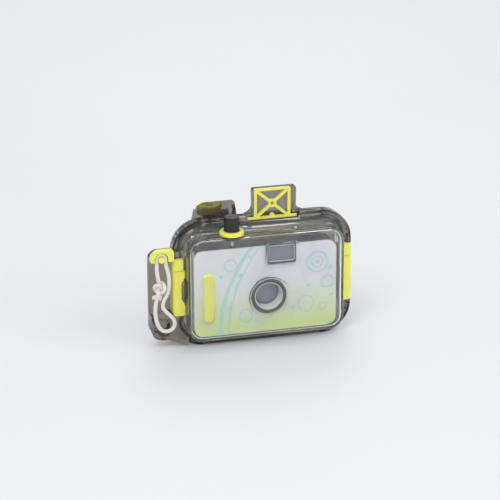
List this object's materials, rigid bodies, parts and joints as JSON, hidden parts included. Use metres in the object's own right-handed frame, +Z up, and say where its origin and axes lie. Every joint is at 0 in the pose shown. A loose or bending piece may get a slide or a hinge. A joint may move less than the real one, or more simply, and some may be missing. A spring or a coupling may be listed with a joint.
{
  "type": "underwater camera",
  "caption": "Compact film camera in a clear and smoke plastic underwater housing, with side latches, push button, winding knob, folding sight and wrist cord.",
  "frame": {"origin": "on the ground under the middle of the housing, at the sealing plane between the two shells", "axes": "+X to the right as the lens looks at the viewer, +Y from the lens to the back, +Z up"},
  "size_m": [0.1573, 0.0488, 0.1195],
  "materials": {
    "smoke_plastic": "smoke-tinted translucent polycarbonate, polished",
    "clear_plastic": "clear polycarbonate, polished",
    "yellow_plastic": "lime-yellow moulded plastic, satin gloss",
    "black_plastic": "black moulded plastic, fine texture",
    "grey_plastic": "dark grey moulded plastic",
    "white_plastic": "white moulded plastic",
    "printed_panel": "printed panel, pale lilac to lime-yellow with pale aqua linework, glossy",
    "silver_plating": "bright silver plating",
    "steel": "stainless steel, bright",
    "blackened_steel": "blackened sheet steel, matte",
    "lens_glass": "coated lens, polished",
    "seal_rubber": "black rubber",
    "cord_fabric": "white braided cord"
  },
  "bodies": {
    "back_housing": {"back_shell": "smoke_plastic", "gasket": "seal_rubber", "latch_pins": "steel", "strap_lug": "yellow_plastic", "wrist_cord": "cord_fabric", "cord_knot": "cord_fabric", "winding_gland": "grey_plastic", "winding_seal": "seal_rubber", "camera_front_cover": "white_plastic", "camera_front_panel": "printed_panel", "camera_back_door": "black_plastic", "camera_top_cover": "black_plastic", "camera_chassis": "black_plastic", "camera_screws": "steel", "grip_bar": "yellow_plastic", "lens_bezel": "black_plastic", "lens_cup": "silver_plating", "front_lens": "lens_glass", "aperture_plate": "blackened_steel", "shutter_plate": "blackened_steel", "rear_lens": "lens_glass", "finder_frame": "black_plastic", "finder_front_lens": "clear_plastic", "finder_eyepiece": "clear_plastic", "counter_window": "clear_plastic", "pressure_plate": "steel", "pressure_spring": "steel"},
    "front_housing": {"front_shell": "clear_plastic", "button_gland": "grey_plastic", "button_ring": "yellow_plastic", "button_seal": "seal_rubber"},
    "shutter_push": {"shutter_button": "black_plastic", "button_stem": "steel", "stem_clip": "steel", "button_spring": "steel"},
    "left_latch": {"latch_left": "yellow_plastic"},
    "right_latch": {"latch_right": "yellow_plastic"},
    "winder": {"winding_knob": "yellow_plastic", "winding_shaft": "steel", "knob_screw": "steel", "drive_wheel": "seal_rubber"},
    "take_up": {"thumbwheel": "black_plastic", "take_up_spool": "black_plastic"},
    "sprocket": {"film_sprocket": "black_plastic"},
    "counter": {"counter_dial": "white_plastic"},
    "rewinder": {"rewind_shaft": "black_plastic", "rewind_knob": "black_plastic", "rewind_crank": "black_plastic"},
    "camera_release": {"release_button": "black_plastic", "release_lever": "black_plastic"},
    "blade": {"shutter_blade": "blackened_steel"},
    "sight": {"sight_frame": "yellow_plastic"}
  },
  "joints": [
    {"name": "front_slide", "type": "slide", "parent": "back_housing", "child": "front_housing", "axis": [0, -1, 0], "range_m": [0, 0.016]},
    {"name": "left_latch_swing", "type": "hinge", "parent": "back_housing", "child": "left_latch", "pos_m": [-0.0672, 0.0056, 0.0485], "axis": [0, 0, 1], "range_deg": [-90, 0]},
    {"name": "right_latch_swing", "type": "hinge", "parent": "back_housing", "child": "right_latch", "pos_m": [0.0672, 0.0056, 0.0485], "axis": [0, 0, 1], "range_deg": [0, 90]},
    {"name": "button_press", "type": "slide", "parent": "front_housing", "child": "shutter_push", "axis": [0, 0, -1], "range_m": [0, 0.002], "stiffness_N_per_m": 500, "springref_m": -0.002, "deforming": ["button_spring"]},
    {"name": "release_press", "type": "slide", "parent": "back_housing", "child": "camera_release", "axis": [0, 0, -1], "range_m": [0, 0.002]},
    {"name": "blade_swing", "type": "hinge", "parent": "back_housing", "child": "blade", "pos_m": [0.0095, -0.005, 0.042], "axis": [0, 1, 0], "range_deg": [0, 35]},
    {"name": "winder_turn", "type": "hinge", "parent": "back_housing", "child": "winder", "pos_m": [-0.036, 0.017, 0.097], "axis": [0, 0, 1], "continuous": true},
    {"name": "take_up_turn", "type": "hinge", "parent": "back_housing", "child": "take_up", "pos_m": [-0.0395, 0.00422, 0.07], "axis": [0, 0, 1], "continuous": true},
    {"name": "sprocket_turn", "type": "hinge", "parent": "back_housing", "child": "sprocket", "pos_m": [-0.0225, 0.0064, 0.045], "axis": [0, 0, 1], "continuous": true},
    {"name": "counter_turn", "type": "hinge", "parent": "back_housing", "child": "counter", "pos_m": [-0.024, 0.0045, 0.076], "axis": [0, 0, 1], "continuous": true},
    {"name": "rewind_turn", "type": "hinge", "parent": "back_housing", "child": "rewinder", "pos_m": [0.0383, -0.0006, 0.081], "axis": [0, 0, 1], "continuous": true},
    {"name": "sight_fold", "type": "hinge", "parent": "back_housing", "child": "sight", "pos_m": [0.0092, 0.0012, 0.0959], "axis": [1, 0, 0], "range_deg": [0, 90]}
  ],
  "couplings": [
    {"joint": "left_latch_swing", "follows": "front_slide", "rad_per_m": -98.17},
    {"joint": "right_latch_swing", "follows": "front_slide", "rad_per_m": 98.17},
    {"joint": "release_press", "follows": "button_press", "ratio": 1},
    {"joint": "blade_swing", "follows": "button_press", "rad_per_m": 305},
    {"joint": "take_up_turn", "follows": "winder_turn", "ratio": -0.32},
    {"joint": "counter_turn", "follows": "sprocket_turn", "ratio": -0.025}
  ]
}
